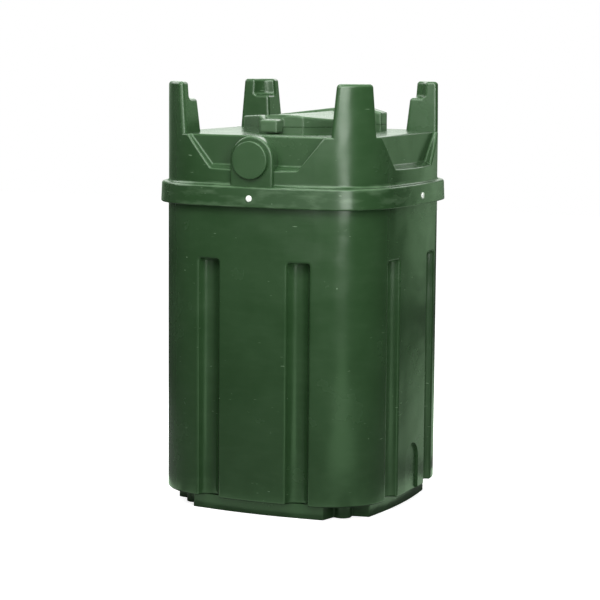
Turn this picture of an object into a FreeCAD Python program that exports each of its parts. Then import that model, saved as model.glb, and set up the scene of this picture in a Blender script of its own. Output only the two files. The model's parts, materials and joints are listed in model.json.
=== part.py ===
"""Bunded heating oil tank of moulded polyethylene: a ribbed square bund on a footed plinth, a cover with
four stacking posts, and an access lid hinged at the back over the inner tank.

Millimetres, Z up, origin on the floor under the middle of the tank, front towards -Y."""
import FreeCAD
import Part

import math
import os

V = FreeCAD.Vector

# Body plan: a square with bowed sides and large round corners
WALL_HALF = 416.0
SIDE_R = 1780.0
CORNER_R = 212.0
WALL_T = 8.0

# Heights
PANEL_Z = 50.0
TROUGH_TOP_Z = 862.0
BEAD_Z = 1054.0
RIM_Z = 1042.0
RIM_TOP_Z = 1112.0
WALL_FOOT_Z = 1124.0
DECK_Z = 1278.0
DECK_EDGE = 16.0
POST_TOP_Z = 1451.0

# Upright half-round troughs of the bund, two on each side
TROUGH_X = 165.0
TROUGH_R = 40.0
LIP_R = 9.0
PANEL_EDGE_R = 7.0

# Arched pocket at the foot of the left and right sides
POCKET_HALF = 58.0
POCKET_SPRING_Z = 160.0
POCKET_DEPTH = 10.0

# Plinth with a rounded foot in each corner notch
PLINTH_HALF = 379.0
NOTCH_START = 244.0
NOTCH_INNER = V(258.0, -301.0, 0)
FOOT_REACH = 300.0
PLINTH_EDGE_R = 6.0
PLINTH_FOOT_R = 2.0
LEDGE_HALF = 296.0

# Cover, its rim and the rim screws
COVER_HALF = 415.0
RIM_HALF = 441.5
RIM_LEAN = 3.0
RIM_EDGE_R = 9.0
RIM_LIP_R = 4.0
RIM_HOLLOW_R = 10.0
SCREW_Z = 1072.0
SCREW_HEAD_R = 10.5
SCREW_HEAD_H = 5.0
SCREW_SINK = 0.5
SCREW_EDGE = 2.0
SCREW_R = 3.0
SCREW_LEN = 22.0

# Trapezoid recess in each side of the cover
RECESS_HALF_LOW = 154.0
RECESS_HALF_TOP = 250.0
RECESS_LOW_Z = 1162.0
RECESS_BACK = 379.0
SILL_RISE = 17.0
COVER_EDGE_R = 7.0

# Front boss and its round cap
BOSS_HALF = 78.0
BOSS_FACE = 427.0
BOSS_ARC_Z = 1199.0
BOSS_EDGE_R = 8.0
CAP_R = 63.0
CAP_Z = 1198.0
CAP_T = 15.0
CAP_EDGE_R = 4.0
CAP_NECK_R = 42.0
CAP_NECK_LEN = 10.0
FIT_GAP = 0.5

# Stacking posts
POST_IN_LOW = 266.0
POST_IN_TOP = 281.0
POST_EDGE_R = 12.0
SCOOP_AT = 265.0
SCOOP_R = 70.0
SCOOP_Z = 1393.0

# Access lid and its curb; the lid's top edges are given by X and height above the deck
LID_APOTHEM = 197.0
CURB_H = 20.0
CURB_T = 12.0
LID_T = 6.0
LID_CORNER_R = 6.0
FRONT_EDGE = ((-LID_APOTHEM, 56.0), (-60.0, 61.0), (60.0, 62.0), (LID_APOTHEM, 40.0))
BACK_EDGE = ((-LID_APOTHEM, 41.0), (-60.0, 57.5), (20.0, 68.0), (LID_APOTHEM, 58.0))
DIP_EDGE = ((-84.0, 64.0), (-66.0, 48.0), (-15.0, 48.0), (36.0, 64.0))
DIP_DEPTH = 40.0
HOOD_X0 = -53.0
HOOD_X1 = 10.0
HOOD_OUT = 54.0
HOOD_TOP = 48.0
HOOD_FRONT_TOP = 45.0
HOOD_FOOT = 5.0
HOOD_GAP = 5.0
HOOD_EDGE_R = 4.0

# Bar across the back of the lid, carrying the hinges
BAR_HALF = 202.0
BAR_BACK = 256.0
BAR_EDGE = ((-BAR_HALF, 50.0), (15.0, 77.0), (150.0, 78.0), (BAR_HALF, 64.0))
BAR_EDGE_R = 7.0
HINGE_Y = 270.0
HINGE_X = 115.0
LUG_HALF = 14.0
KNUCKLE_R = 9.0
KNUCKLE_LEN = 16.0
KNUCKLE_GAP = 2.0
KNUCKLE_WEB = 28.0
PIN_R = 4.0
PIN_GAP = 0.05

# Inner tank standing on the ledge of the bund
INNER_HALF = 345.0
INNER_TOP_Z = 1190.0
INNER_EDGE_R = 30.0
FILLER_Y = -60.0
FILLER_R = 45.0
FILLER_NECK_T = 6.0
FILLER_NECK_H = 26.0
FILLER_CAP_R = 62.0
FILLER_CAP_H = 14.0
FILLER_CAP_EDGE = 3.0

SPREAD = SIDE_R - WALL_HALF
REACH = SIDE_R - CORNER_R
CORNER_AT = (math.sqrt(2 * REACH ** 2 - SPREAD ** 2) - SPREAD) / 2
SIDE_ANGLE = math.atan2(CORNER_AT, CORNER_AT + SPREAD)
LID_Z = DECK_Z + CURB_H
NEAR = 1.0
SIDES = ("front", "right", "back", "left")
CORNERS = ("front_right", "back_right", "back_left", "front_left")


def turned(shape, quarter):
    """A front-side shape carried round to one of the four sides."""
    copy = shape.copy()
    copy.rotate(V(0, 0, 0), V(0, 0, 1), 90 * quarter)
    return copy


def round_sides(shape):
    """The four copies of a front-side shape."""
    return [turned(shape, quarter) for quarter in range(4)]


def outline(half):
    """Face of the bowed square whose mid sides stand at the given half width."""
    side_r = SIDE_R + half - WALL_HALF
    corner_r = CORNER_R + half - WALL_HALF

    def on_side(t):
        return V(side_r * math.sin(t), SPREAD - side_r * math.cos(t), 0)

    def on_corner(t):
        return V(CORNER_AT + corner_r * math.sin(t), -CORNER_AT - corner_r * math.cos(t), 0)

    side = Part.Arc(on_side(-SIDE_ANGLE), on_side(0), on_side(SIDE_ANGLE)).toShape()
    corner = Part.Arc(on_corner(SIDE_ANGLE), on_corner(math.pi / 4),
                      on_corner(math.pi / 2 - SIDE_ANGLE)).toShape()
    edges = []
    for quarter in range(4):
        edges += [turned(side, quarter), turned(corner, quarter)]
    return Part.Face(Part.Wire(edges))


def face_y(half, x):
    """Y of the front side of an outline at a distance x from the middle."""
    side_r = SIDE_R + half - WALL_HALF
    return SPREAD - math.sqrt(side_r ** 2 - x ** 2)


def prism(face, low, high):
    """Upright solid over a flat face, between two heights."""
    base = face.copy()
    base.translate(V(0, 0, low))
    return base.extrude(V(0, 0, high - low))


def polygon(points):
    """Flat face through the given corner points."""
    return Part.Face(Part.makePolygon(list(points) + [points[0]]))


def box(x0, x1, y0, y1, z0, z1):
    """Upright block between opposite corners."""
    return Part.makeBox(x1 - x0, y1 - y0, z1 - z0, V(x0, y0, z0))


def slab(low, high):
    """Block wider than the tank, between two heights."""
    wide = RIM_HALF + RIM_EDGE_R
    return box(-wide, wide, -wide, wide, low, high)


def rounded(shape, radius, chosen):
    """Shape with the edges whose bounding boxes pass a test rounded off."""
    return shape.makeFillet(radius, [edge for edge in shape.Edges if chosen(edge.BoundBox)])


def bevelled(shape, width, chosen):
    """Shape with the edges whose bounding boxes pass a test bevelled."""
    return shape.makeChamfer(width, [edge for edge in shape.Edges if chosen(edge.BoundBox)])


def is_upright(bounds):
    """True for an edge that stands straight up."""
    return max(bounds.XLength, bounds.YLength) < NEAR


def arch(half, low, spring, y0, y1):
    """Round-headed block standing on the front side, between two depths."""
    edges = [
        Part.makeLine(V(-half, y0, spring), V(-half, y0, low)),
        Part.makeLine(V(-half, y0, low), V(half, y0, low)),
        Part.makeLine(V(half, y0, low), V(half, y0, spring)),
        Part.Arc(V(half, y0, spring), V(0, y0, spring + half), V(-half, y0, spring)).toShape(),
    ]
    return Part.Face(Part.Wire(edges)).extrude(V(0, y1 - y0, 0))


def trough(radius, top, side):
    """Half-round hollow running up the front side, its seam turned outwards."""
    at = V(side * TROUGH_X, face_y(WALL_HALF, TROUGH_X), PANEL_Z)
    run = Part.makeCylinder(radius, top - PANEL_Z, at)
    run.rotate(at, V(0, 0, 1), -90)
    return run


def troughs(radius, top):
    """All the troughs of the bund."""
    return round_sides(trough(radius, top, -1)) + round_sides(trough(radius, top, 1))


def pocket_backing():
    """Thicker wall behind the pocket at the foot of a side."""
    return arch(POCKET_HALF + WALL_T, PANEL_Z, POCKET_SPRING_Z, -WALL_HALF, WALL_T + POCKET_DEPTH - WALL_HALF)


def pockets():
    """Shallow arched pockets at the foot of the left and right sides."""
    pocket = arch(POCKET_HALF, PANEL_Z, POCKET_SPRING_Z, -RIM_HALF, POCKET_DEPTH - WALL_HALF)
    return [turned(pocket, 1), turned(pocket, 3)]


def bund_room():
    """Space inside the bund wall."""
    room = prism(outline(WALL_HALF - WALL_T), PANEL_Z, RIM_TOP_Z)
    backings = [turned(pocket_backing(), 1), turned(pocket_backing(), 3)]
    return room.cut(troughs(TROUGH_R + WALL_T, TROUGH_TOP_Z + WALL_T) + backings)


def bund_wall():
    """Ribbed wall of the bund, with the bead its cover sits on."""
    wall = prism(outline(WALL_HALF), PANEL_Z, BEAD_Z).cut(troughs(TROUGH_R, TROUGH_TOP_Z))
    wall = rounded(wall, LIP_R, lambda b: PANEL_Z + NEAR < b.ZMax < BEAD_Z - NEAR)
    wall = rounded(wall, PANEL_EDGE_R, lambda b: b.ZMax < PANEL_Z + NEAR)
    bead = prism(outline(RIM_HALF - WALL_T), BEAD_Z, RIM_TOP_Z - WALL_T)
    return wall.fuse(bead).cut([bund_room()] + pockets() + round_sides(screw_bore()))


def screw_bore():
    """Hole of the front rim screw, from outside to the screw's tip."""
    return Part.makeCylinder(SCREW_R, SCREW_LEN, V(0, -rim_at(SCREW_Z), SCREW_Z), V(0, 1, 0))


def screw_seat():
    """Flat seat for the head of the front rim screw in the leaning rim."""
    at = V(0, SCREW_SINK - rim_at(SCREW_Z), SCREW_Z)
    return Part.makeCylinder(SCREW_HEAD_R + FIT_GAP, SCREW_HEAD_H, at, V(0, -1, 0))


def plinth_face():
    """Plan of the plinth: bowed sides, a notch with a rounded foot at each corner."""
    start = V(-NOTCH_START, face_y(PLINTH_HALF, NOTCH_START), 0)
    end = V(NOTCH_START, start.y, 0)
    far = V(-NOTCH_INNER.y, -NOTCH_INNER.x, 0)
    run = [
        Part.Arc(start, V(0, -PLINTH_HALF, 0), end).toShape(),
        Part.makeLine(end, NOTCH_INNER),
        Part.Arc(NOTCH_INNER, V(FOOT_REACH, -FOOT_REACH, 0), far).toShape(),
        Part.makeLine(far, V(-start.y, -NOTCH_START, 0)),
    ]
    edges = []
    for quarter in range(4):
        edges += [turned(edge, quarter) for edge in run]
    return Part.Face(Part.Wire(edges))


def bund_base():
    """Footed plinth and floor of the bund, with the ledge under the wall."""
    plan = plinth_face()
    well = plan.makeOffset2D(-WALL_T).Faces[0]
    base = rounded(prism(plan, 0, PANEL_Z), PLINTH_EDGE_R, is_upright)
    base = rounded(base, PLINTH_FOOT_R, lambda b: b.ZMax < NEAR)
    ledge = bund_room().common(slab(PANEL_Z, PANEL_Z + WALL_T))
    opening = outline(LEDGE_HALF).common(well).Faces[0]
    return base.cut(prism(well, WALL_T, PANEL_Z)).fuse(ledge.cut(prism(opening, PANEL_Z, PANEL_Z + WALL_T)))


def recess(grow):
    """Trapezoid hollow in the front side of the cover, grown by a wall thickness."""
    flare = (RECESS_HALF_TOP - RECESS_HALF_LOW) / (DECK_Z - RECESS_LOW_Z)
    fall = SILL_RISE / (WALL_HALF - RECESS_BACK)
    out = RIM_HALF + WALL_T
    back = RECESS_BACK - grow
    low = RECESS_LOW_Z - fall * (out - WALL_HALF) - grow * math.hypot(1, fall)
    high = DECK_Z + WALL_T

    def half_at(z):
        return RECESS_HALF_LOW + flare * (z - RECESS_LOW_Z) + grow * math.hypot(1, flare)

    front = polygon([V(-half_at(low), -out, low), V(half_at(low), -out, low),
                     V(half_at(high), -out, high), V(-half_at(high), -out, high)])
    side = polygon([V(-RIM_HALF, -out, low), V(-RIM_HALF, -back, low + fall * (out - back)),
                    V(-RIM_HALF, -back, high), V(-RIM_HALF, -out, high)])
    return front.extrude(V(0, out - back, 0)).common(side.extrude(V(2 * RIM_HALF, 0, 0)))


def cover_form():
    """Filled form of the cover below its posts: rim, recessed wall and deck in one."""
    wall = prism(outline(COVER_HALF), RIM_TOP_Z, DECK_Z).cut(round_sides(recess(0)))
    wall = rounded(wall, COVER_EDGE_R, lambda b: b.ZMax > RIM_TOP_Z + NEAR and not is_upright(b))
    rim = leaning_rim()
    rim = rounded(rim, RIM_EDGE_R, lambda b: b.ZMin > RIM_TOP_Z - NEAR)
    rim = rounded(rim, RIM_LIP_R, lambda b: b.ZMax < RIM_Z + NEAR)
    form = wall.fuse(rim).removeSplitter()
    return form.makeFillet(RIM_HOLLOW_R, [edge for edge in form.Edges if on_foot(edge)])


def rim_at(z):
    """Half width of the leaning rim at a height."""
    return RIM_HALF - RIM_LEAN * (z - RIM_Z) / (RIM_TOP_Z - RIM_Z)


def leaning_rim():
    """Filled rim, a little narrower at the top so that it leaves its mould."""
    wires = []
    for z in (RIM_Z, RIM_TOP_Z):
        ring = outline(rim_at(z)).OuterWire
        ring.translate(V(0, 0, z))
        wires.append(ring)
    return Part.makeLoft(wires, True, True)


def on_foot(edge):
    """True for an edge where the cover wall meets the top of the rim."""
    level = edge.BoundBox.ZLength < NEAR and abs(edge.BoundBox.ZMin - RIM_TOP_Z) < NEAR
    if not level or not isinstance(edge.Curve, Part.Circle):
        return False
    grown = edge.Curve.Radius + WALL_HALF - COVER_HALF
    return min(abs(grown - SIDE_R), abs(grown - CORNER_R)) < NEAR


def rim_skirt(form, room):
    """Rim of the cover, bored and flattened for its screws."""
    holes = round_sides(screw_bore().fuse(screw_seat()))
    return form.common(slab(RIM_Z, WALL_FOOT_Z)).cut([room] + holes)


def cover_room():
    """Space under the cover, with the seat of the rim on the bead."""
    room = prism(outline(COVER_HALF - WALL_T), RIM_Z, DECK_Z - WALL_T).cut(round_sides(recess(WALL_T)))
    return room.fuse(prism(outline(RIM_HALF - WALL_T), RIM_Z, RIM_TOP_Z - WALL_T))


def deck(form, room):
    """Roof of the cover with its turned-down edge, open under the lid and the hollow posts."""
    roof = form.common(slab(DECK_Z - DECK_EDGE, DECK_Z)).cut(room)
    hatch = prism(octagon(LID_APOTHEM - CURB_T), DECK_Z - WALL_T, DECK_Z)
    hollow = post_column(WALL_T, DECK_Z - WALL_T, DECK_Z)
    return roof.cut([hatch] + round_sides(hollow))


def octagon(apothem):
    """Plan of the access opening, with one flat side to the front."""
    reach = apothem / math.cos(math.pi / 8)
    turns = [math.pi / 8 + k * math.pi / 4 for k in range(8)]
    return polygon([V(reach * math.cos(t), reach * math.sin(t), 0) for t in turns])


def lid_bar(low, high):
    """Block across the back of the lid, or of the curb under it."""
    return box(-BAR_HALF, BAR_HALF, LID_APOTHEM, BAR_BACK, low, high)


def access_curb():
    """Low upstand round the access opening, with the step under the hinge bar."""
    curb = prism(octagon(LID_APOTHEM), DECK_Z, LID_Z).fuse(lid_bar(DECK_Z, LID_Z)).removeSplitter()
    curb = rounded(curb, LID_CORNER_R, is_upright)
    return curb.cut(prism(octagon(LID_APOTHEM - CURB_T), DECK_Z, LID_Z))


def front_boss(form):
    """Round-headed block carrying the front cap."""
    block = arch(BOSS_HALF, RIM_TOP_Z, BOSS_ARC_Z, -BOSS_FACE, WALL_T - RECESS_BACK)
    block = rounded(block, BOSS_EDGE_R, lambda b: b.YMax < NEAR - BOSS_FACE and b.ZMax > RIM_TOP_Z + NEAR)
    neck = Part.makeCylinder(CAP_NECK_R + FIT_GAP, CAP_NECK_LEN + FIT_GAP,
                             V(0, -BOSS_FACE, CAP_Z), V(0, 1, 0))
    return block.cut([form, neck])


def front_cap():
    """Round screw cap on the front boss."""
    disc = Part.makeCylinder(CAP_R, CAP_T, V(0, -BOSS_FACE - CAP_T, CAP_Z), V(0, 1, 0))
    disc = rounded(disc, CAP_EDGE_R, lambda b: b.YMax < NEAR - BOSS_FACE - CAP_T)
    neck = Part.makeCylinder(CAP_NECK_R, CAP_NECK_LEN, V(0, -BOSS_FACE, CAP_Z), V(0, 1, 0))
    return disc.fuse(neck)


def post_column(grow, low, top):
    """Front right corner of the tank carried up, its inner sides leaning outwards as they rise."""
    wires = []
    for z in (low, POST_TOP_Z):
        near = POST_IN_LOW + (POST_IN_TOP - POST_IN_LOW) * (z - DECK_Z) / (POST_TOP_Z - DECK_Z) + grow
        square = polygon([V(near, -RIM_HALF, z), V(RIM_HALF, -RIM_HALF, z),
                          V(RIM_HALF, -near, z), V(near, -near, z)])
        wires.append(square.OuterWire)
    column = Part.makeLoft(wires, True, True)
    return column.common(prism(outline(COVER_HALF - grow), low, top))


def corner_post(form):
    """Hollow stacking post, flush with the cover, with a scooped seat for the foot of a tank above."""
    low = DECK_Z - COVER_EDGE_R
    scoop = Part.makeCylinder(SCOOP_R, POST_TOP_Z - SCOOP_Z, V(SCOOP_AT, -SCOOP_AT, SCOOP_Z))
    post = post_column(0, low, POST_TOP_Z).cut(scoop)
    post = rounded(post, POST_EDGE_R, lambda b: b.ZMax > DECK_Z + NEAR)
    return post.cut([form, post_column(WALL_T, low, SCOOP_Z - WALL_T)])


def edge_profile(edge, y, low, drop):
    """Closed wire across the lid at a depth: straight foot, top edge through the given points."""
    top = [V(x, y, DECK_Z + height - drop) for x, height in edge]
    foot = [V(top[-1].x, y, low), V(top[0].x, y, low)]
    return Part.makePolygon(top + foot + [top[0]])


def lid_block(drop):
    """Block whose top runs from the level front edge of the lid to its pitched back edge."""
    front = edge_profile(FRONT_EDGE, -LID_APOTHEM, LID_Z, drop)
    back = edge_profile(BACK_EDGE, LID_APOTHEM, LID_Z, drop)
    return Part.makeLoft([front, back], True, True)


def lid_dip(grow):
    """Hollow in the front edge of the lid above the lock hood, grown by a wall thickness."""
    middle = (DIP_EDGE[0][0] + DIP_EDGE[-1][0]) / 2
    points = [V(x + math.copysign(grow, x - middle), -LID_APOTHEM, DECK_Z + height - grow)
              for x, height in DIP_EDGE]
    return polygon(points).extrude(V(0, DIP_DEPTH + grow, 0))


def lock_hood():
    """Hollow hood over the lock, standing out from the front of the lid."""
    front = -LID_APOTHEM - HOOD_OUT
    points = [(front, HOOD_FOOT), (front, HOOD_FRONT_TOP), (-LID_APOTHEM, HOOD_TOP), (-LID_APOTHEM, CURB_H),
              (-LID_APOTHEM - HOOD_GAP, CURB_H), (-LID_APOTHEM - HOOD_GAP, HOOD_FOOT)]
    side = polygon([V(HOOD_X0, y, DECK_Z + height) for y, height in points])
    hood = rounded(side.extrude(V(HOOD_X1 - HOOD_X0, 0, 0)), HOOD_EDGE_R,
                   lambda b: b.YMin < -LID_APOTHEM - NEAR and b.ZMax > DECK_Z + HOOD_FRONT_TOP - NEAR)
    room = box(HOOD_X0 + LID_T, HOOD_X1 - LID_T, front + LID_T, -LID_APOTHEM,
               DECK_Z + HOOD_FOOT, DECK_Z + HOOD_FRONT_TOP - LID_T)
    return hood.cut(room)


def access_lid():
    """Hinged lid: pitched octagon, lock hood at the front, hinge bar with its knuckles at the back."""
    above = DECK_Z + 2 * HOOD_TOP
    dome = lid_block(0).common(prism(octagon(LID_APOTHEM), LID_Z, above))
    dome = rounded(dome, LID_CORNER_R, lambda b: b.ZMax > LID_Z + NEAR and b.YLength < LID_APOTHEM)
    bar = Part.Face(edge_profile(BAR_EDGE, LID_APOTHEM, LID_Z, 0)).extrude(V(0, BAR_BACK - LID_APOTHEM, 0))
    bar = rounded(bar, BAR_EDGE_R, lambda b: b.ZMax > LID_Z + NEAR)
    room = lid_block(LID_T).common(prism(octagon(LID_APOTHEM - LID_T), LID_Z, above)).cut(lid_dip(LID_T))
    lid = dome.cut(lid_dip(0)).fuse([lock_hood(), bar] + [hinge_knuckle(x) for x in knuckle_places()])
    return lid.cut([room] + [hinge_pin(side) for side in (-1, 1)])


def knuckle_places():
    """Left ends of the lid's hinge knuckles, one on each side of each lug."""
    out = LUG_HALF + KNUCKLE_GAP
    return [side * HINGE_X + start for side in (-1, 1) for start in (-out - KNUCKLE_LEN, out)]


def hinge_knuckle(left):
    """Eye behind the hinge bar, with the web that joins it to the bar."""
    eye = Part.makeCylinder(KNUCKLE_R, KNUCKLE_LEN, V(left, HINGE_Y, LID_Z), V(1, 0, 0))
    web = box(left, left + KNUCKLE_LEN, BAR_BACK - WALL_T, HINGE_Y + KNUCKLE_R, LID_Z, LID_Z + KNUCKLE_WEB)
    return eye.fuse(bevelled(web, KNUCKLE_R, lambda b: min(b.YMin - HINGE_Y, b.ZMin - LID_Z) > NEAR))


def hinge_lug(side):
    """Eye on the deck between two knuckles, bored for the hinge pin."""
    left = side * HINGE_X - LUG_HALF
    right = side * HINGE_X + LUG_HALF
    eye = Part.makeCylinder(KNUCKLE_R, right - left, V(left, HINGE_Y, LID_Z), V(1, 0, 0))
    foot = box(left, right, BAR_BACK, HINGE_Y + KNUCKLE_R, DECK_Z, LID_Z)
    bore = Part.makeCylinder(PIN_R + PIN_GAP, right - left, V(left, HINGE_Y, LID_Z), V(1, 0, 0))
    return eye.fuse(foot).cut(bore).removeSplitter()


def hinge_pin(side):
    """Pin held in the two knuckles on either side of a lug."""
    half = LUG_HALF + KNUCKLE_GAP + KNUCKLE_LEN
    return Part.makeCylinder(PIN_R, 2 * half, V(side * HINGE_X - half, HINGE_Y, LID_Z), V(1, 0, 0))


def rim_screw():
    """Round-headed screw holding the rim to the bead of the bund, at the front."""
    tip = rim_at(SCREW_Z) - SCREW_SINK + SCREW_HEAD_H
    head = Part.makeCylinder(SCREW_HEAD_R, SCREW_HEAD_H, V(0, -tip, SCREW_Z), V(0, 1, 0))
    return bevelled(head, SCREW_EDGE, lambda b: b.YMax < NEAR - tip).fuse(screw_bore())


def inner_tank():
    """Closed vessel for the oil, with a filler neck on top."""
    low = PANEL_Z + WALL_T
    body = prism(outline(INNER_HALF), low, INNER_TOP_Z)
    body = rounded(body, INNER_EDGE_R, lambda b: b.ZLength < NEAR)
    room = prism(outline(INNER_HALF - WALL_T), low + WALL_T, INNER_TOP_Z - WALL_T)
    room = bevelled(room, INNER_EDGE_R / 2, lambda b: b.ZLength < NEAR)
    at = V(0, FILLER_Y, INNER_TOP_Z)
    neck = Part.makeCylinder(FILLER_R + FILLER_NECK_T, FILLER_NECK_H, at)
    bore = Part.makeCylinder(FILLER_R, FILLER_NECK_H + 2 * WALL_T, at - V(0, 0, 2 * WALL_T))
    return body.fuse(neck).cut([room, bore])


def filler_cap():
    """Cap lying on the filler neck."""
    at = V(0, FILLER_Y, INNER_TOP_Z + FILLER_NECK_H)
    cap = Part.makeCylinder(FILLER_CAP_R, FILLER_CAP_H, at)
    return bevelled(cap, FILLER_CAP_EDGE, lambda b: b.ZMin > at.z + NEAR)


form = cover_form()
room = cover_room()
pieces = {
    "bund_base": bund_base(),
    "bund_wall": bund_wall(),
    "rim_skirt": rim_skirt(form, room),
    "cover_wall": form.common(slab(WALL_FOOT_Z, DECK_Z - DECK_EDGE)).cut(room),
    "deck": deck(form, room),
    "access_curb": access_curb(),
    "front_boss": front_boss(form),
    "front_cap": front_cap(),
    "access_lid": access_lid(),
    "inner_tank": inner_tank(),
    "filler_cap": filler_cap(),
}
for corner, post in zip(CORNERS, round_sides(corner_post(form))):
    pieces["corner_post_" + corner] = post
for side, screw in zip(SIDES, round_sides(rim_screw())):
    pieces["rim_screw_" + side] = screw
for hand, name in ((-1, "left"), (1, "right")):
    pieces["hinge_lug_" + name] = hinge_lug(hand)
    pieces["hinge_pin_" + name] = hinge_pin(hand)

os.makedirs("parts", exist_ok=True)
for name, shape in pieces.items():
    print(name, len(shape.Solids), "solid", "valid" if shape.isValid() else "not valid",
          round(shape.Volume / 1e6, 3), "litres")
    shape.Solids[0].exportStep("parts/" + name + ".step")
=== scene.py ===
# %% [markdown]
# # A bunded heating oil tank
# The tank is a moulded polyethylene bund with a screwed-on cover, four stacking posts and a hinged lid.
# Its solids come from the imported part, which is loaded here as a fixed frame. The looks are laid over it:
# finishes for every moulding, small fittings with more detail than the solids carry, light and a camera.

import json
import math

import bpy
from mathutils import Matrix, Vector


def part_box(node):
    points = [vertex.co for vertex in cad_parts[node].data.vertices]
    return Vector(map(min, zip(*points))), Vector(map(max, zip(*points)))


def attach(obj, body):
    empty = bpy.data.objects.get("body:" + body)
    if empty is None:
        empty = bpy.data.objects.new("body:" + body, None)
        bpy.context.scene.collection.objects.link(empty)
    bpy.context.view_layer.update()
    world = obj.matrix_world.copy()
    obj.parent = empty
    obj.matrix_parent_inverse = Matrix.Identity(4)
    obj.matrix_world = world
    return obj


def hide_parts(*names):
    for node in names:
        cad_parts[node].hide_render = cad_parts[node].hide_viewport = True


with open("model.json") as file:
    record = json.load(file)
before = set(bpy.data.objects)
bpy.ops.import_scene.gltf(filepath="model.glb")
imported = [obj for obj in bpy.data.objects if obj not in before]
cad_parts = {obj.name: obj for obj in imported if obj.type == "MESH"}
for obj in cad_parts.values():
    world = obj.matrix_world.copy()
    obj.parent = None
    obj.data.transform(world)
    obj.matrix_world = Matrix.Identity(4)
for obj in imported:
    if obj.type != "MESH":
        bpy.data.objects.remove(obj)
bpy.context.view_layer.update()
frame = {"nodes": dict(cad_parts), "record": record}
MM = 0.001

# %% [markdown]
# ## Colours and nodes
# Colours are written as they look on a screen, and one function turns them to the linear values that a
# shader wants. Another adds a node and fills its sockets, so that each finish below reads as a short recipe.
# Some nodes have several sockets of one name. Those are picked by number, so the numbers get names here.

# %% Helpers for the finishes
FIRST, SECOND, THIRD = 0, 1, 2
MIX_SHARE = 0
VALUE_A, VALUE_B = 2, 3
COLOUR_A, COLOUR_B = 6, 7
MIXED_VALUE, MIXED_COLOUR = 0, 2


def linear(hex_colour):
    """An sRGB hex colour as linear red, green and blue with a full alpha, by the sRGB formula."""
    def channel(pair):
        value = int(pair, 16) / 255
        return value / 12.92 if value <= 0.04045 else ((value + 0.055) / 1.055) ** 2.4

    digits = hex_colour.lstrip("#")
    return tuple(channel(digits[at:at + 2]) for at in (0, 2, 4)) + (1.0,)


def per_metre(size_mm):
    """How often a pattern of this size fits into a metre, which is a texture's scale."""
    return 1 / (size_mm * MM)


def add_node(tree, kind, sockets, **settings):
    """A new node with its settings, its sockets filled with values or linked to other nodes."""
    made = tree.nodes.new(kind)
    for name, value in settings.items():
        setattr(made, name, value)
    for name, value in sockets.items():
        if isinstance(value, bpy.types.NodeSocket):
            tree.links.new(value, made.inputs[name])
        else:
            made.inputs[name].default_value = value
    return made


def new_finish(name):
    """An empty material, its node tree and its output node."""
    finish = bpy.data.materials.new(name)
    finish.use_nodes = True
    finish.node_tree.nodes.clear()
    return finish, finish.node_tree, finish.node_tree.nodes.new("ShaderNodeOutputMaterial")


WHITE = "#FFFFFF"
print("white is", linear(WHITE))

# %% [markdown]
# ## Marks of handling
# A tank is dragged, stacked and strapped down, which leaves pale slanting scratches in a few places and
# single specks all over. Drawn lines would repeat, so the scratches are the crests of a stretched noise,
# kept only inside the patches of a second noise. The specks are the middles of a few cells of a Voronoi
# pattern. Real scratches are finer than these, which are as coarse as they need to be to show.

# %% Scratches and specks
SCRATCH_MM = (30.0, 30.0, 4.5)
SCRATCH_TILT = math.radians(14)
SCRATCH_CREST = (0.73, 0.77)
PATCH_MM = 110.0
PATCH_EDGE = (0.58, 0.66)
SPECK_MM = 42.0
SPECK_EDGE = (0.04, 0.07)
BARE_CELLS = 0.94


def handling_marks(tree, place):
    """How far each point is marked, from 0 to 1."""
    slanted = add_node(tree, "ShaderNodeMapping", {
        "Vector": place, "Rotation": (SCRATCH_TILT, SCRATCH_TILT, 0),
        "Scale": [per_metre(size) for size in SCRATCH_MM]})
    lines = add_node(tree, "ShaderNodeTexNoise", {
        "Vector": slanted.outputs["Vector"], "Scale": 1.0, "Detail": 1.0})
    crests = add_node(tree, "ShaderNodeMapRange", {
        "Value": lines.outputs["Fac"], "From Min": SCRATCH_CREST[0], "From Max": SCRATCH_CREST[1]})
    areas = add_node(tree, "ShaderNodeTexNoise", {
        "Vector": place, "Scale": per_metre(PATCH_MM), "Detail": 1.0})
    patches = add_node(tree, "ShaderNodeMapRange", {
        "Value": areas.outputs["Fac"], "From Min": PATCH_EDGE[0], "From Max": PATCH_EDGE[1]})
    scratches = add_node(tree, "ShaderNodeMath", {
        FIRST: crests.outputs["Result"], SECOND: patches.outputs["Result"]}, operation="MULTIPLY")
    cells = add_node(tree, "ShaderNodeTexVoronoi", {"Vector": place, "Scale": per_metre(SPECK_MM)})
    middles = add_node(tree, "ShaderNodeMapRange", {
        "Value": cells.outputs["Distance"], "From Min": SPECK_EDGE[0], "From Max": SPECK_EDGE[1],
        "To Min": 1.0, "To Max": 0.0})
    lots = add_node(tree, "ShaderNodeSeparateColor", {"Color": cells.outputs["Color"]})
    drawn = add_node(tree, "ShaderNodeMath", {
        FIRST: lots.outputs["Red"], SECOND: BARE_CELLS}, operation="GREATER_THAN")
    specks = add_node(tree, "ShaderNodeMath", {
        FIRST: middles.outputs["Result"], SECOND: drawn.outputs["Value"]}, operation="MULTIPLY")
    return add_node(tree, "ShaderNodeMath", {
        FIRST: scratches.outputs["Value"], SECOND: specks.outputs["Value"]},
        operation="MAXIMUM").outputs["Value"]


print("scratches", SCRATCH_MM[0], "mm long in patches of", PATCH_MM, "mm")

# %% [markdown]
# ## The green of the moulding
# Pigment settles unevenly on a hot mould, which gives faint clouds between two shades of green. Where the
# tank is handled most, a pale film is rubbed onto it in level smears. On the rim that film is also a painted
# highlight, which paints the rim's patchy sheen into its colour. Both are noises, the second one
# stretched, and the marks of handling lie over them in the same pale tone.

# %% Clouds, rubbed film with painted sheen, and marks
RUB_AND_SHEEN_MM = (85.0, 85.0, 24.0)
RUB_AND_SHEEN_EDGE = (0.48, 0.72)
MARK_STRENGTH = 0.5


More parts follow.
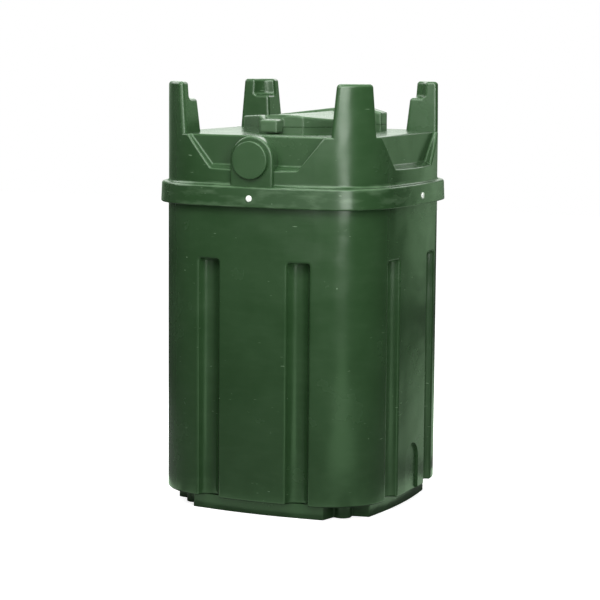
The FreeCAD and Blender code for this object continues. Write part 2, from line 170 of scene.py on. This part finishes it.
def moulded_colour(tree, place, cloud, greens, rub_and_sheen):
    """Clouds between two greens, with a rubbed film and marks in a third; the film is also a painted sheen.
    """
    deep, pale, scuffed_and_sheen = (linear(green) for green in greens)
    tint = add_node(tree, "ShaderNodeMix", {MIX_SHARE: cloud, COLOUR_A: deep, COLOUR_B: pale},
                    data_type="RGBA")
    level = add_node(tree, "ShaderNodeMapping", {
        "Vector": place, "Scale": [per_metre(size) for size in RUB_AND_SHEEN_MM]})
    level_streaks = add_node(tree, "ShaderNodeTexNoise", {
        "Vector": level.outputs["Vector"], "Scale": 1.0, "Detail": 3.0})
    # The pale film is rubbed wear and also a painted highlight, strongest on the rim, where it paints a
    # patchy sheen into the colour.
    film_and_sheen = add_node(tree, "ShaderNodeMapRange", {
        "Value": level_streaks.outputs["Fac"], "From Min": RUB_AND_SHEEN_EDGE[0], "From Max": RUB_AND_SHEEN_EDGE[1], "To Max": rub_and_sheen})
    rubbed_and_sheen = add_node(tree, "ShaderNodeMix", {
        MIX_SHARE: film_and_sheen.outputs["Result"], COLOUR_A: tint.outputs[MIXED_COLOUR], COLOUR_B: scuffed_and_sheen},
        data_type="RGBA")
    marks = add_node(tree, "ShaderNodeMath", {
        FIRST: handling_marks(tree, place), SECOND: MARK_STRENGTH}, operation="MULTIPLY")
    return add_node(tree, "ShaderNodeMix", {
        MIX_SHARE: marks.outputs["Value"], COLOUR_A: rubbed_and_sheen.outputs[MIXED_COLOUR], COLOUR_B: scuffed_and_sheen},
        data_type="RGBA").outputs[MIXED_COLOUR]


print("rubbed smears:", RUB_AND_SHEEN_MM, "mm")

# %% [markdown]
# ## The skin of the moulding
# The wall shrinks as it cools, so its gloss bends over long shallow waves. The mould leaves fine level lines
# and a faint peel as well. Modelled waves would change the solids, so three bumps are laid one over the
# other. The real lid's edges are rounder than the solid's, and a Bevel node softens the shading there.

# %% Waves, level lines, peel and soft edges
WAVES = {"sizes_mm": (130.0, 130.0, 130.0), "height_mm": 3.6, "detail": 1.0}
LEVEL_LINES = {"sizes_mm": (70.0, 70.0, 20.0), "height_mm": 0.25, "detail": 2.0}
PEEL = {"sizes_mm": (7.0, 7.0, 7.0), "height_mm": 0.03, "detail": 2.0}
EDGE_SAMPLES = 6


def moulded_skin(tree, place, edge_mm):
    """The normal of a wavy skin whose edges look rounded by a radius."""
    edge = add_node(tree, "ShaderNodeBevel", {"Radius": edge_mm * MM}, samples=EDGE_SAMPLES)
    normal = edge.outputs["Normal"]
    for relief in (WAVES, LEVEL_LINES, PEEL):
        spot = add_node(tree, "ShaderNodeMapping", {
            "Vector": place, "Scale": [per_metre(size) for size in relief["sizes_mm"]]})
        noise = add_node(tree, "ShaderNodeTexNoise", {
            "Vector": spot.outputs["Vector"], "Scale": 1.0, "Detail": relief["detail"]})
        bump = add_node(tree, "ShaderNodeBump", {
            "Height": noise.outputs["Fac"], "Strength": 1.0, "Distance": relief["height_mm"] * MM,
            "Normal": normal})
        normal = bump.outputs["Normal"]
    return normal


print("waves", WAVES["sizes_mm"][0], "mm long and", WAVES["height_mm"], "mm high")

# %% [markdown]
# ## Rotomoulded polyethylene
# Bund and cover are turned in a hot mould until powder melts onto its wall. The skin comes out with a waxy
# gloss that wanders with the clouds. Flat paint would look like lacquered steel, so one function joins the
# colour and the skin from above, and each moulding gets its own greens, gloss and rubbed film. The rim gets
# the most film, which is rubbed wear and also a painted highlight for its patchy sheen. The lid is bleached
# by the sun, its curb takes the lid's greens, which also paint it lighter against its shade, and the inner
# tank is matt.

# %% The finishes of the mouldings
CLOUD_MM = 190.0
CLOUD_RANGE = (0.3, 0.7)
POLYETHYLENE_IOR = 1.52
SHINE_TINT = "#F2FFF1"
# The third green of each set is the tone of scratches and specks, and of the rubbed film that also paints
# sheen.
TANK_GREENS = ("#213A1F", "#314B2F", "#8AA586")
LID_GREENS = ("#364D34", "#445C42", "#A9BEA5")
CAP_GREENS = ("#284226", "#304A2E", "#7F997B")
INNER_GREENS = ("#1F3B1D", "#274524", "#6C8468")


def polyethylene(name, greens, gloss, rub_and_sheen, edge_mm=0.0):
    """Moulded polyethylene in a deep, a pale and a scuffed green that also paints sheen, its roughness
    between two values.
    """
    finish, tree, out = new_finish(name)
    place = add_node(tree, "ShaderNodeTexCoord", {}).outputs["Object"]
    cloud = add_node(tree, "ShaderNodeTexNoise", {
        "Vector": place, "Scale": per_metre(CLOUD_MM), "Detail": 4.0, "Roughness": 0.6}).outputs["Fac"]
    roughness = add_node(tree, "ShaderNodeMapRange", {
        "Value": cloud, "From Min": CLOUD_RANGE[0], "From Max": CLOUD_RANGE[1],
        "To Min": gloss[0], "To Max": gloss[1]})
    shader = add_node(tree, "ShaderNodeBsdfPrincipled", {
        "Base Color": moulded_colour(tree, place, cloud, greens, rub_and_sheen),
        "Roughness": roughness.outputs["Result"], "IOR": POLYETHYLENE_IOR,
        "Specular Tint": linear(SHINE_TINT), "Normal": moulded_skin(tree, place, edge_mm)})
    tree.links.new(shader.outputs["BSDF"], out.inputs["Surface"])
    return finish


green_moulding = polyethylene("green polyethylene", TANK_GREENS, gloss=(0.19, 0.29), rub_and_sheen=0.012)
# The rim's strong rubbed film is wear and also a painted highlight: it paints the rim's patchy sheen into
# its colour.
rim_rubbed_and_sheen = polyethylene("rubbed polyethylene rim", TANK_GREENS, gloss=(0.19, 0.29), rub_and_sheen=0.15)
bleached_lid = polyethylene("sun-bleached polyethylene lid", LID_GREENS, gloss=(0.20, 0.27), rub_and_sheen=0.03,
                            edge_mm=10.0)
# The curb takes the lid's paler greens, partly as the same bleached plastic, partly to paint it lighter
# against the shade it lies in under the lid's edge.
curb_bleached_and_shade_lightened = polyethylene("sun-bleached polyethylene curb lightened against shade", LID_GREENS, gloss=(0.20, 0.27), rub_and_sheen=0.03)
green_cap = polyethylene("green polyethylene cap", CAP_GREENS, gloss=(0.28, 0.36), rub_and_sheen=0.012)
inner_moulding = polyethylene("matt inner polyethylene", INNER_GREENS, gloss=(0.42, 0.52), rub_and_sheen=0.012)
print("mouldings:", [finish.name for finish in bpy.data.materials if "polyethylene" in finish.name])

# %% [markdown]
# ## Screw heads, fittings and pins
# The rim screws have white plastic heads, the filler has a black plastic cap and the lid turns on plain
# steel pins. Each is small, so a light speckle is enough to keep it from looking like flat paint.

# %% The small fittings' finishes
def speckled(name, dark, light, grain_mm, roughness, metallic=0.0):
    """Smooth finish whose colour wanders a little over a fine grain."""
    finish, tree, out = new_finish(name)
    place = add_node(tree, "ShaderNodeTexCoord", {}).outputs["Object"]
    grain = add_node(tree, "ShaderNodeTexNoise", {
        "Vector": place, "Scale": per_metre(grain_mm), "Detail": 3.0})
    colour = add_node(tree, "ShaderNodeMix", {
        MIX_SHARE: grain.outputs["Fac"], COLOUR_A: linear(dark), COLOUR_B: linear(light)},
        data_type="RGBA")
    shader = add_node(tree, "ShaderNodeBsdfPrincipled", {
        "Base Color": colour.outputs[MIXED_COLOUR], "Roughness": roughness, "Metallic": metallic})
    tree.links.new(shader.outputs["BSDF"], out.inputs["Surface"])
    return finish


white_screw = speckled("white nylon screw head", "#E4E8E1", "#F6F8F4", grain_mm=4.0, roughness=0.35)
black_fitting = speckled("black moulded fitting", "#141514", "#242624", grain_mm=3.0, roughness=0.45)
pin_steel = speckled("plain steel pin", "#8C8E8B", "#B4B6B2", grain_mm=2.0, roughness=0.32, metallic=1.0)
print("fittings:", white_screw.name, "|", black_fitting.name, "|", pin_steel.name)

# %% [markdown]
# ## Finishes on the solids
# The record names a material slot for each solid, so most get the finish of their slot. Three solids in the
# green slot get their own variant: the lid is bleached by the sun, its curb takes the lid's greens, which
# also paint it lighter against the shade under the lid, and the rim has a strong rubbed film that is partly
# a painted highlight.

# %% Give every solid its finish
SLOT_FINISHES = {"green_moulding": green_moulding, "green_cap": green_cap, "inner_moulding": inner_moulding,
                 "white_screw": white_screw, "black_fitting": black_fitting, "pin_steel": pin_steel}
# The curb's finish is painted lighter against its shade, and the rim's carries a painted highlight.
OWN_FINISHES = {"access_lid": bleached_lid, "access_curb": curb_bleached_and_shade_lightened, "rim_skirt": rim_rubbed_and_sheen}

for subpart in frame["record"]["subparts"]:
    node = subpart["node"]
    solid = frame["nodes"][node]
    solid.data.materials.clear()
    solid.data.materials.append(OWN_FINISHES.get(node, SLOT_FINISHES[subpart["material_slot"]]))

# %% [markdown]
# ## Shaping in edit mode
# New pieces start as a primitive. Its faces are picked in code by where they lie and which way they face,
# then shaped by operators, and the finished piece keeps its place in its mesh.

# %% Helpers for shaping
SMOOTH_ANGLE = math.radians(35)
FACING = 0.9
SIDEWAYS = 0.1
TANK_BODY = "tank"


def pick_faces(piece, wanted):
    """Select the faces whose centre and normal pass a test, and stay in edit mode."""
    bpy.ops.object.mode_set(mode="EDIT")
    bpy.ops.mesh.select_mode(type="FACE")
    bpy.ops.mesh.select_all(action="DESELECT")
    bpy.ops.object.mode_set(mode="OBJECT")
    for face in piece.data.polygons:
        face.select = wanted(face.center, face.normal)
    bpy.ops.object.mode_set(mode="EDIT")


def settle(piece, name, finish):
    """Leave edit mode, put the place into the mesh, smooth the skin and give the finish."""
    bpy.ops.object.mode_set(mode="OBJECT")
    bpy.ops.object.transform_apply(location=True, rotation=True, scale=True)
    bpy.ops.object.shade_smooth_by_angle(angle=SMOOTH_ANGLE)
    piece.name = name
    piece.data.name = name
    piece.data.materials.clear()
    piece.data.materials.append(finish)


print("new pieces ride on the", TANK_BODY)

# %% [markdown]
# ## Rim screws
# Four white-headed screws hold the rim to the bund, one in the middle of each side. The solids give them a
# bevelled disc. A button head is a low dome, which is a disc whose front is inset ring by ring, each
# ring pushed a little further out along an elliptical arc.

# %% The front screw
HEAD_MM = 5.0
HEAD_SIDES = 48
DOME_RINGS = 5

low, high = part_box("rim_screw_front")
head_r = (high.x - low.x) / 2
head_h = HEAD_MM * MM
disc_h = head_h / 2
disc_y = low.y + head_h - disc_h / 2
bpy.ops.object.select_all(action="DESELECT")
bpy.ops.mesh.primitive_cylinder_add(vertices=HEAD_SIDES, radius=head_r, depth=disc_h,
                                    location=(0, disc_y, (low.z + high.z) / 2),
                                    rotation=(math.pi / 2, 0, 0))
screw = bpy.context.object
bpy.ops.object.transform_apply(location=True, rotation=True, scale=True)
pick_faces(screw, lambda centre, normal: normal.y < -FACING)
ring_angle = math.pi / 2 / DOME_RINGS
for ring in range(DOME_RINGS - 1):
    start = ring * ring_angle
    end = start + ring_angle
    bpy.ops.mesh.inset(thickness=head_r * (math.cos(start) - math.cos(end)), depth=0)
    bpy.ops.transform.translate(value=(0, -disc_h * (math.sin(end) - math.sin(start)), 0))
settle(screw, "screw_front", white_screw)
print("screw head:", round(2 * head_r / MM, 1), "mm wide")

# %% A copy on each other side
SIDES = ("front", "right", "back", "left")
screws = [screw]
for quarter, side in enumerate(SIDES[1:], 1):
    copy = screw.copy()
    copy.data = screw.data.copy()
    copy.name = copy.data.name = "screw_" + side
    copy.data.transform(Matrix.Rotation(quarter * math.pi / 2, 4, "Z"))
    bpy.context.collection.objects.link(copy)
    screws.append(copy)
for piece, side in zip(screws, SIDES):
    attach(piece, TANK_BODY)
    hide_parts("rim_screw_" + side)
print("screws:", [piece.name for piece in screws])

# %% [markdown]
# ## Filler cap
# Under the lid the inner tank's filler is closed by a black screw cap. Its side carries grip ribs, so it
# starts as a many-sided disc, and every second side face is drawn outwards a little. The top is dished
# inside a rim, which two insets give.

# %% The ribbed filler cap
CAP_SIDES = 72
RIB_MM = 2.0
CAP_RIM_MM = 6.0
DISH_SLOPE_MM = 2.0
DISH_MM = 3.0

low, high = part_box("filler_cap")
middle = (low + high) / 2
cap_r = (high.x - low.x) / 2 - RIB_MM * MM


def on_rib(centre, normal):
    """Whether a face is one of every second side face of the cap."""
    turned = math.atan2(normal.y, normal.x) / (2 * math.pi) % 1
    return abs(normal.z) < SIDEWAYS and int(turned * CAP_SIDES) % 2 == 0


def on_top(centre, normal):
    """Whether a face is the middle of the cap's top, not the top of a rib."""
    return normal.z > FACING and (centre.xy - middle.xy).length < cap_r / 2


bpy.ops.object.select_all(action="DESELECT")
bpy.ops.mesh.primitive_cylinder_add(vertices=CAP_SIDES, radius=cap_r, depth=high.z - low.z, location=middle)
cap = bpy.context.object
bpy.ops.object.transform_apply(location=True, rotation=True, scale=True)
pick_faces(cap, on_rib)
bpy.ops.mesh.extrude_faces_move(TRANSFORM_OT_shrink_fatten={"value": RIB_MM * MM})
pick_faces(cap, on_top)
bpy.ops.mesh.inset(thickness=CAP_RIM_MM * MM, depth=0)
bpy.ops.mesh.inset(thickness=DISH_SLOPE_MM * MM, depth=-DISH_MM * MM)
settle(cap, "filler_screw_cap", black_fitting)
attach(cap, TANK_BODY)
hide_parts("filler_cap")
print("filler cap faces:", len(cap.data.polygons))

# %% [markdown]
# ## Floor
# The tank stands on a white sweep. The floor glows for the camera, less near the tank, so that it meets the
# white room without a line and still darkens where the tank keeps light from it. For all other rays it is a
# plain grey floor, which keeps white from bouncing up onto the green.

# %% White floor
FLOOR_M = 24.0
FLOOR_WHITE = "#E6E6E6"
FLOOR_GREY = "#747674"
FADE_M = (0.6, 3.0)
FADE_GLOW = (0.78, 1.0)

bpy.ops.object.select_all(action="DESELECT")
bpy.ops.mesh.primitive_plane_add(size=FLOOR_M)
floor = bpy.context.object
floor.name = "floor"
finish, tree, out = new_finish("white floor")
rays = add_node(tree, "ShaderNodeLightPath", {})
matt = add_node(tree, "ShaderNodeBsdfDiffuse", {"Color": linear(FLOOR_WHITE)})
spot = add_node(tree, "ShaderNodeTexCoord", {})
radius = add_node(tree, "ShaderNodeVectorMath", {FIRST: spot.outputs["Object"]}, operation="LENGTH")
fade = add_node(tree, "ShaderNodeMapRange", {
    "Value": radius.outputs["Value"], "From Min": FADE_M[0], "From Max": FADE_M[1],
    "To Min": FADE_GLOW[0], "To Max": FADE_GLOW[1]}, interpolation_type="SMOOTHSTEP")
glow = add_node(tree, "ShaderNodeEmission", {"Color": linear(WHITE), "Strength": fade.outputs["Result"]})
seen = add_node(tree, "ShaderNodeAddShader", {FIRST: matt.outputs["BSDF"], SECOND: glow.outputs["Emission"]})
plain = add_node(tree, "ShaderNodeBsdfDiffuse", {"Color": linear(FLOOR_GREY)})
both = add_node(tree, "ShaderNodeMixShader", {
    FIRST: rays.outputs["Is Camera Ray"], SECOND: plain.outputs["BSDF"], THIRD: seen.outputs["Shader"]})
tree.links.new(both.outputs["Shader"], out.inputs["Surface"])
floor.data.materials.append(finish)
print("floor:", FLOOR_M, "m wide")

# %% [markdown]
# ## Room
# The camera sees a white room. Matt surfaces get a weak even light from it. What the gloss mirrors is a dim
# room that is brighter overhead and behind the tank, in the light green of a garden, because a mirrored
# white room would wash out the dark plastic.

# %% White room
AMBIENT = 0.17
GARDEN = "#DCFFD9"
BACKDROP_TURN = 204.7
BACKDROP_SPREAD = (0.7, 1.0)
BACKDROP_SHEEN = (0.08, 0.45)
SKY_HEIGHT = (0.35, 0.8)
SKY_SHEEN = 1.7
BACKDROP_SIDE = (math.sin(math.radians(BACKDROP_TURN)), -math.cos(math.radians(BACKDROP_TURN)), 0.0)

world = bpy.data.worlds.new("white room")
bpy.context.scene.world = world
world.use_nodes = True
tree = world.node_tree
tree.nodes.clear()
out = tree.nodes.new("ShaderNodeOutputWorld")
rays = add_node(tree, "ShaderNodeLightPath", {})
heading = add_node(tree, "ShaderNodeTexCoord", {}).outputs["Generated"]
facing = add_node(tree, "ShaderNodeVectorMath", {FIRST: heading, SECOND: BACKDROP_SIDE},
                  operation="DOT_PRODUCT")
sheen = add_node(tree, "ShaderNodeMapRange", {
    "Value": facing.outputs["Value"], "From Min": BACKDROP_SPREAD[0], "From Max": BACKDROP_SPREAD[1],
    "To Min": BACKDROP_SHEEN[0], "To Max": BACKDROP_SHEEN[1]}, interpolation_type="SMOOTHSTEP")
height = add_node(tree, "ShaderNodeSeparateXYZ", {"Vector": heading})
sky = add_node(tree, "ShaderNodeMapRange", {
    "Value": height.outputs["Z"], "From Min": SKY_HEIGHT[0], "From Max": SKY_HEIGHT[1],
    "To Min": 0.0, "To Max": SKY_SHEEN}, interpolation_type="SMOOTHSTEP")
mirrored = add_node(tree, "ShaderNodeMath", {FIRST: sheen.outputs["Result"], SECOND: sky.outputs["Result"]},
                    operation="ADD")
dim = add_node(tree, "ShaderNodeMix", {
    MIX_SHARE: rays.outputs["Is Glossy Ray"], VALUE_A: AMBIENT, VALUE_B: mirrored.outputs["Value"]})
level = add_node(tree, "ShaderNodeMix", {
    MIX_SHARE: rays.outputs["Is Camera Ray"], VALUE_A: dim.outputs[MIXED_VALUE], VALUE_B: 1.0})
tone = add_node(tree, "ShaderNodeMix", {
    MIX_SHARE: rays.outputs["Is Glossy Ray"], COLOUR_A: linear(WHITE), COLOUR_B: linear(GARDEN)},
    data_type="RGBA")
room = add_node(tree, "ShaderNodeBackground", {
    "Color": tone.outputs[MIXED_COLOUR], "Strength": level.outputs[MIXED_VALUE]})
tree.links.new(room.outputs["Background"], out.inputs["Surface"])
print("room:", world.name)

# %% [markdown]
# ## Soft lamps
# Each light is a soft rectangle. It stands upright and faces a point of the tank from a turn in degrees, 0
# before the front and 90 at the right. The point is the middle of the tank, of its front or of its rounded
# front right corner, which lies at a share of the wall's half width. The glow is the brightness of the
# lamp's face, where 1 is white. A lamp for the floor is made around height 0 and then laid down, so low and
# high are half its length.

# %% Helpers for the lamps
CORNER_SHARE = 0.822
FLOOR_GAP_MM = 5.0

wall_low, wall_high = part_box("cover_wall")
MIDDLE = (0.0, 0.0)
FRONT = (0.0, wall_low.y)
CORNER = (CORNER_SHARE * wall_high.x, CORNER_SHARE * wall_low.y)


def soft_lamp(name, target, turn, away, width, low, high, glow, tone=WHITE):
    """A soft upright rectangle of light, facing a point of the tank from a turn in degrees."""
    heading = math.radians(turn)
    data = bpy.data.lights.new(name, "AREA")
    data.shape = "RECTANGLE"
    data.size = width
    data.size_y = high - low
    data.energy = glow * math.pi * width * (high - low)
    data.color = linear(tone)[:3]
    made = bpy.data.objects.new(name, data)
    made.location = (target[0] + away * math.sin(heading), target[1] - away * math.cos(heading),
                     (low + high) / 2)
    made.rotation_euler = (math.pi / 2, 0, heading)
    made.visible_camera = False
    bpy.context.collection.objects.link(made)
    return made


def lay_on_floor(lamp):
    """Lay a lamp flat on the floor, shining up."""
    lamp.location.z = FLOOR_GAP_MM * MM
    lamp.rotation_euler.x = math.pi


print("lamps face the front at", FRONT, "and the corner at", CORNER)

# %% [markdown]
# ## Light from the opening and the room
# The gloss tells what lit the tank. A tall bright opening stands to the right of the camera: its edge is the
# line where the rounded corner turns dark. The ground before it is lit and green. A dimmer room lies behind
# the camera, with a brighter end.

# %% Opening, ground and room
LEAVES = "#BFF0BA"
OPENING_TURN = 43.0

opening = soft_lamp("bright opening", CORNER, turn=OPENING_TURN, away=4.0, width=1.25, low=0.8, high=3.6,
                    glow=7.5)
lintel = soft_lamp("upper part of the opening", CORNER, turn=20.0, away=4.0, width=2.8, low=1.3, high=3.6,
                   glow=1.5)
ground = soft_lamp("lit ground before the opening", CORNER, turn=OPENING_TURN, away=2.2, width=1.0,
                   low=-1.5, high=1.5, glow=1.4, tone=LEAVES)
lay_on_floor(ground)
yard = soft_lamp("lit ground at the back right", MIDDLE, turn=160.0, away=2.4, width=1.4,
                 low=-1.5, high=1.5, glow=0.6, tone=LEAVES)
lay_on_floor(yard)
yard.visible_diffuse = False
room_side = soft_lamp("room behind the camera", FRONT, turn=5.0, away=5.0, width=7.0, low=0.6, high=3.0,
                      glow=0.55)
room_end = soft_lamp("bright end of the room", FRONT, turn=-3.0, away=5.0, width=2.0, low=0.45, high=1.8,
                     glow=0.45)
print("lamps:", [lamp.name for lamp in (opening, lintel, ground, yard, room_side, room_end)])

# %% [markdown]
# ## Light from above
# The tank is lighter at the top, so a lamp hangs over the front and a small one over the lid. The hanging
# lamp's light and its reflection need different strengths. It is made as two lamps, one for matt light and
# one for shine, a little apart because lamps in one place hide each other. The back and the left have a
# shine too.

# %% Lamps above the tank
SKYLIGHT_TILT = math.radians(35)
HANGING_TILT = math.radians(48)
HANGING_SPAN = {"width": 2.4, "low": 1.8, "high": 2.5}
HANGING_TURN = 24.0
SHINES = ({"target": FRONT, "turn": HANGING_TURN, "away": 1.05, "glow": 4.6},
          {"target": MIDDLE, "turn": 195.0, "away": 1.6, "glow": 2.5},
          {"target": MIDDLE, "turn": 280.0, "away": 1.6, "glow": 2.5})

skylight = soft_lamp("lamp over the lid", MIDDLE, turn=0.0, away=0.35, width=0.9, low=2.15, high=2.65,
                     glow=7.0)
skylight.rotation_euler.x = SKYLIGHT_TILT
hanging = soft_lamp("hanging lamp", FRONT, turn=HANGING_TURN, away=1.1, glow=6.6, **HANGING_SPAN)
hanging.rotation_euler.x = HANGING_TILT
hanging.visible_glossy = False
for place in SHINES:
    shine = soft_lamp("shine of a hanging lamp", **place, **HANGING_SPAN)
    shine.rotation_euler.x = HANGING_TILT
    shine.visible_diffuse = False
print("lamps:", skylight.name, "|", hanging.name, "|", len(SHINES), "shines")

# %% [markdown]
# ## Light for the far sides and the foot
# A green window and a lit backdrop give the far edges their thin reflections. Two fill lamps, which the
# gloss doesn't show, keep the back and the left from going dark. Low boards lie along the four sides,
# because the foot of each wall mirrors a pale floor.

# %% Lamps behind the tank and at its foot
FILL_TURNS = (190.0, 262.0)
BOARD_TURNS = (0.0, 90.0, 180.0, 270.0)
BOARD_TONE = "#C4ECC0"

window = soft_lamp("window at the back right", MIDDLE, turn=157.0, away=4.0, width=1.6, low=0.3, high=2.6,
                   glow=0.72, tone=LEAVES)
backdrop = soft_lamp("lit backdrop", MIDDLE, turn=BACKDROP_TURN, away=5.0, width=3.0, low=1.3, high=2.6,
                     glow=0.9)
for turn in FILL_TURNS:
    fill = soft_lamp("fill lamp", MIDDLE, turn=turn, away=2.2, width=2.4, low=0.6, high=2.4, glow=2.6)
    fill.visible_glossy = False
for turn in BOARD_TURNS:
    board = soft_lamp("low white board", MIDDLE, turn=turn, away=0.52, width=0.9, low=-0.10, high=0.10,
                      glow=1.2, tone=BOARD_TONE)
    lay_on_floor(board)
    board.visible_diffuse = False
print("lamps in all:", len(bpy.data.lights))

# %% [markdown]
# ## Camera
# The camera's place was worked out from the tank's own outline: about seven metres away at head height,
# about halfway round from the front to the corner, with a long lens that keeps the uprights nearly parallel.

# %% The camera
CAMERA_TURN = math.radians(24.706)
CAMERA_AWAY = 7.333
CAMERA_HIGH = 1.590
CAMERA_YAW = math.radians(0.1034)
CAMERA_PITCH = math.radians(7.0079)
CAMERA_ROLL = math.radians(0.4727)
LENS_MM = 126.59
SENSOR_MM = 36.0

aim = CAMERA_TURN + CAMERA_YAW
forward = Vector((-math.sin(aim) * math.cos(CAMERA_PITCH), math.cos(aim) * math.cos(CAMERA_PITCH),
                  -math.sin(CAMERA_PITCH)))
level_right = Vector((math.cos(aim), math.sin(aim), 0))
level_up = level_right.cross(forward)
right = math.cos(CAMERA_ROLL) * level_right + math.sin(CAMERA_ROLL) * level_up
up = math.cos(CAMERA_ROLL) * level_up - math.sin(CAMERA_ROLL) * level_right
stand = Vector((CAMERA_AWAY * math.sin(CAMERA_TURN), -CAMERA_AWAY * math.cos(CAMERA_TURN), CAMERA_HIGH))
attitude = Matrix((right, up, -forward)).transposed().to_4x4()

camera_data = bpy.data.cameras.new("camera")
camera_data.sensor_width = SENSOR_MM
camera_data.lens = LENS_MM
camera = bpy.data.objects.new("camera", camera_data)
camera.matrix_world = Matrix.Translation(stand) @ attitude
bpy.context.collection.objects.link(camera)
bpy.context.scene.camera = camera
bpy.context.scene.view_settings.view_transform = "Standard"
print("camera at", stand, "with a lens of", LENS_MM, "mm")
